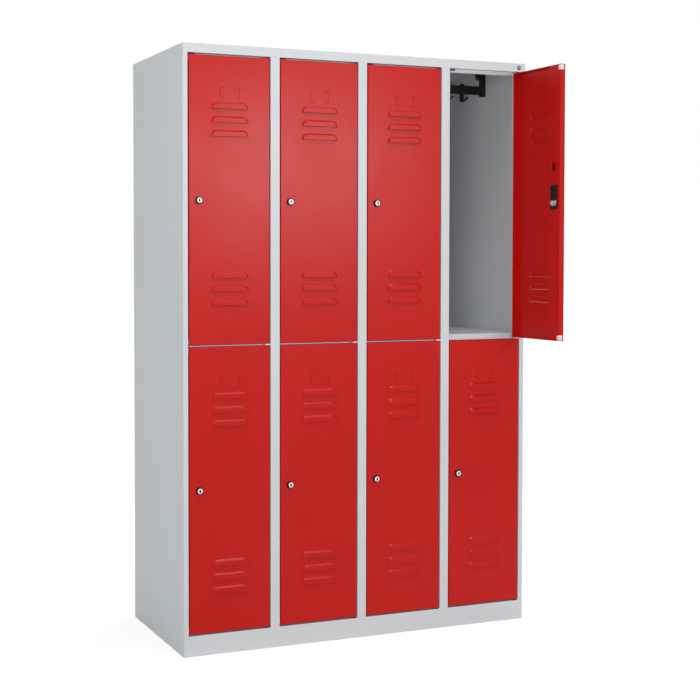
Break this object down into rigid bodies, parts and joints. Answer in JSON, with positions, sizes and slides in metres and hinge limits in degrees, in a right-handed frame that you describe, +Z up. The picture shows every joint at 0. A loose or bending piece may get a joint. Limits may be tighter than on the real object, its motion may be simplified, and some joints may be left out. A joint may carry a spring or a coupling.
{
  "type": "compartment locker",
  "caption": "Free-standing sheet-steel locker with louvred hinged doors over separate compartments, cylinder locks, coat rails and sliding hooks.",
  "frame": {"origin": "on the floor under the middle of the carcass", "axes": "+X to the right seen from the front, +Y from the doors to the back, +Z up"},
  "size_m": [1.161, 0.7455, 1.8],
  "materials": {
    "carcass_paint": "light grey powder coat",
    "door_paint": "red powder coat, silk gloss",
    "black_moulding": "black moulded plastic",
    "white_nylon": "white nylon",
    "lock_steel": "nickel-plated steel"
  },
  "bodies": {
    "carcass": {"left_side_panel": "carcass_paint", "right_side_panel": "carcass_paint", "back_panel": "carcass_paint", "top_panel": "carcass_paint", "floor_panel": "carcass_paint", "plinth": "carcass_paint", "top_rail": "carcass_paint", "front_posts": "carcass_paint", "partitions": "carcass_paint", "shelves": "carcass_paint", "coat_rails": "black_moulding", "hinge_bushes": "white_nylon"},
    "door_lower_1": {"lower_door_1": "door_paint", "lower_door_1_lock_body": "black_moulding", "lower_door_1_buffers": "white_nylon"},
    "lock_lower_1": {"lower_door_1_lock_cylinder": "lock_steel"},
    "hook_lower_1_centre": {"lower_coat_hook_1_centre": "black_moulding"},
    "hook_lower_1_right": {"lower_coat_hook_1_right": "black_moulding"},
    "door_lower_2": {"lower_door_2": "door_paint", "lower_door_2_lock_body": "black_moulding", "lower_door_2_buffers": "white_nylon"},
    "lock_lower_2": {"lower_door_2_lock_cylinder": "lock_steel"},
    "hook_lower_2_centre": {"lower_coat_hook_2_centre": "black_moulding"},
    "hook_lower_2_right": {"lower_coat_hook_2_right": "black_moulding"},
    "door_lower_3": {"lower_door_3": "door_paint", "lower_door_3_lock_body": "black_moulding", "lower_door_3_buffers": "white_nylon"},
    "lock_lower_3": {"lower_door_3_lock_cylinder": "lock_steel"},
    "hook_lower_3_centre": {"lower_coat_hook_3_centre": "black_moulding"},
    "hook_lower_3_right": {"lower_coat_hook_3_right": "black_moulding"},
    "door_lower_4": {"lower_door_4": "door_paint", "lower_door_4_lock_body": "black_moulding", "lower_door_4_buffers": "white_nylon"},
    "lock_lower_4": {"lower_door_4_lock_cylinder": "lock_steel"},
    "hook_lower_4_centre": {"lower_coat_hook_4_centre": "black_moulding"},
    "hook_lower_4_right": {"lower_coat_hook_4_right": "black_moulding"},
    "door_upper_1": {"upper_door_1": "door_paint", "upper_door_1_lock_body": "black_moulding", "upper_door_1_buffers": "white_nylon"},
    "lock_upper_1": {"upper_door_1_lock_cylinder": "lock_steel"},
    "hook_upper_1_centre": {"upper_coat_hook_1_centre": "black_moulding"},
    "hook_upper_1_right": {"upper_coat_hook_1_right": "black_moulding"},
    "door_upper_2": {"upper_door_2": "door_paint", "upper_door_2_lock_body": "black_moulding", "upper_door_2_buffers": "white_nylon"},
    "lock_upper_2": {"upper_door_2_lock_cylinder": "lock_steel"},
    "hook_upper_2_centre": {"upper_coat_hook_2_centre": "black_moulding"},
    "hook_upper_2_right": {"upper_coat_hook_2_right": "black_moulding"},
    "door_upper_3": {"upper_door_3": "door_paint", "upper_door_3_lock_body": "black_moulding", "upper_door_3_buffers": "white_nylon"},
    "lock_upper_3": {"upper_door_3_lock_cylinder": "lock_steel"},
    "hook_upper_3_centre": {"upper_coat_hook_3_centre": "black_moulding"},
    "hook_upper_3_right": {"upper_coat_hook_3_right": "black_moulding"},
    "door_upper_4": {"upper_door_4": "door_paint", "upper_door_4_lock_body": "black_moulding", "upper_door_4_buffers": "white_nylon"},
    "lock_upper_4": {"upper_door_4_lock_cylinder": "lock_steel"},
    "hook_upper_4_centre": {"upper_coat_hook_4_centre": "black_moulding"},
    "hook_upper_4_right": {"upper_coat_hook_4_right": "black_moulding"}
  },
  "joints": [
    {"name": "door_lower_1_swing", "type": "hinge", "parent": "carcass", "child": "door_lower_1", "pos_m": [-0.313, -0.245, 0.066], "axis": [0, 0, 1], "range_deg": [0, 110]},
    {"name": "lock_lower_1_turn", "type": "hinge", "parent": "door_lower_1", "child": "lock_lower_1", "pos_m": [-0.531, -0.245, 0.49012], "axis": [0, -1, 0], "range_deg": [0, 90]},
    {"name": "slide_lower_1_centre", "type": "slide", "parent": "carcass", "child": "hook_lower_1_centre", "axis": [1, 0, 0], "range_m": [-0.1, 0.02]},
    {"name": "slide_lower_1_right", "type": "slide", "parent": "carcass", "child": "hook_lower_1_right", "axis": [1, 0, 0], "range_m": [-0.018, 0.056]},
    {"name": "door_lower_2_swing", "type": "hinge", "parent": "carcass", "child": "door_lower_2", "pos_m": [-0.023, -0.245, 0.066], "axis": [0, 0, 1], "range_deg": [0, 110]},
    {"name": "lock_lower_2_turn", "type": "hinge", "parent": "door_lower_2", "child": "lock_lower_2", "pos_m": [-0.241, -0.245, 0.49012], "axis": [0, -1, 0], "range_deg": [0, 90]},
    {"name": "slide_lower_2_centre", "type": "slide", "parent": "carcass", "child": "hook_lower_2_centre", "axis": [1, 0, 0], "range_m": [-0.1, 0.02]},
    {"name": "slide_lower_2_right", "type": "slide", "parent": "carcass", "child": "hook_lower_2_right", "axis": [1, 0, 0], "range_m": [-0.018, 0.056]},
    {"name": "door_lower_3_swing", "type": "hinge", "parent": "carcass", "child": "door_lower_3", "pos_m": [0.267, -0.245, 0.066], "axis": [0, 0, 1], "range_deg": [0, 110]},
    {"name": "lock_lower_3_turn", "type": "hinge", "parent": "door_lower_3", "child": "lock_lower_3", "pos_m": [0.049, -0.245, 0.49012], "axis": [0, -1, 0], "range_deg": [0, 90]},
    {"name": "slide_lower_3_centre", "type": "slide", "parent": "carcass", "child": "hook_lower_3_centre", "axis": [1, 0, 0], "range_m": [-0.1, 0.02]},
    {"name": "slide_lower_3_right", "type": "slide", "parent": "carcass", "child": "hook_lower_3_right", "axis": [1, 0, 0], "range_m": [-0.018, 0.056]},
    {"name": "door_lower_4_swing", "type": "hinge", "parent": "carcass", "child": "door_lower_4", "pos_m": [0.557, -0.245, 0.066], "axis": [0, 0, 1], "range_deg": [0, 110]},
    {"name": "lock_lower_4_turn", "type": "hinge", "parent": "door_lower_4", "child": "lock_lower_4", "pos_m": [0.339, -0.245, 0.49012], "axis": [0, -1, 0], "range_deg": [0, 90]},
    {"name": "slide_lower_4_centre", "type": "slide", "parent": "carcass", "child": "hook_lower_4_centre", "axis": [1, 0, 0], "range_m": [-0.1, 0.02]},
    {"name": "slide_lower_4_right", "type": "slide", "parent": "carcass", "child": "hook_lower_4_right", "axis": [1, 0, 0], "range_m": [-0.018, 0.056]},
    {"name": "door_upper_1_swing", "type": "hinge", "parent": "carcass", "child": "door_upper_1", "pos_m": [-0.313, -0.245, 0.91975], "axis": [0, 0, 1], "range_deg": [0, 110]},
    {"name": "lock_upper_1_turn", "type": "hinge", "parent": "door_upper_1", "child": "lock_upper_1", "pos_m": [-0.531, -0.245, 1.34387], "axis": [0, -1, 0], "range_deg": [0, 90]},
    {"name": "slide_upper_1_centre", "type": "slide", "parent": "carcass", "child": "hook_upper_1_centre", "axis": [1, 0, 0], "range_m": [-0.1, 0.02]},
    {"name": "slide_upper_1_right", "type": "slide", "parent": "carcass", "child": "hook_upper_1_right", "axis": [1, 0, 0], "range_m": [-0.018, 0.056]},
    {"name": "door_upper_2_swing", "type": "hinge", "parent": "carcass", "child": "door_upper_2", "pos_m": [-0.023, -0.245, 0.91975], "axis": [0, 0, 1], "range_deg": [0, 110]},
    {"name": "lock_upper_2_turn", "type": "hinge", "parent": "door_upper_2", "child": "lock_upper_2", "pos_m": [-0.241, -0.245, 1.34387], "axis": [0, -1, 0], "range_deg": [0, 90]},
    {"name": "slide_upper_2_centre", "type": "slide", "parent": "carcass", "child": "hook_upper_2_centre", "axis": [1, 0, 0], "range_m": [-0.1, 0.02]},
    {"name": "slide_upper_2_right", "type": "slide", "parent": "carcass", "child": "hook_upper_2_right", "axis": [1, 0, 0], "range_m": [-0.018, 0.056]},
    {"name": "door_upper_3_swing", "type": "hinge", "parent": "carcass", "child": "door_upper_3", "pos_m": [0.267, -0.245, 0.91975], "axis": [0, 0, 1], "range_deg": [0, 110]},
    {"name": "lock_upper_3_turn", "type": "hinge", "parent": "door_upper_3", "child": "lock_upper_3", "pos_m": [0.049, -0.245, 1.34387], "axis": [0, -1, 0], "range_deg": [0, 90]},
    {"name": "slide_upper_3_centre", "type": "slide", "parent": "carcass", "child": "hook_upper_3_centre", "axis": [1, 0, 0], "range_m": [-0.1, 0.02]},
    {"name": "slide_upper_3_right", "type": "slide", "parent": "carcass", "child": "hook_upper_3_right", "axis": [1, 0, 0], "range_m": [-0.018, 0.056]},
    {"name": "door_upper_4_swing", "type": "hinge", "parent": "carcass", "child": "door_upper_4", "pos_m": [0.557, -0.245, 0.91975], "axis": [0, 0, 1], "range_deg": [-91.5, 18.5]},
    {"name": "lock_upper_4_turn", "type": "hinge", "parent": "door_upper_4", "child": "lock_upper_4", "pos_m": [0.56271, -0.46292, 1.34387], "axis": [0.9997, 0.0262, 0], "range_deg": [0, 90]},
    {"name": "slide_upper_4_centre", "type": "slide", "parent": "carcass", "child": "hook_upper_4_centre", "axis": [1, 0, 0], "range_m": [-0.1, 0.02]},
    {"name": "slide_upper_4_right", "type": "slide", "parent": "carcass", "child": "hook_upper_4_right", "axis": [1, 0, 0], "range_m": [-0.018, 0.056]}
  ]
}
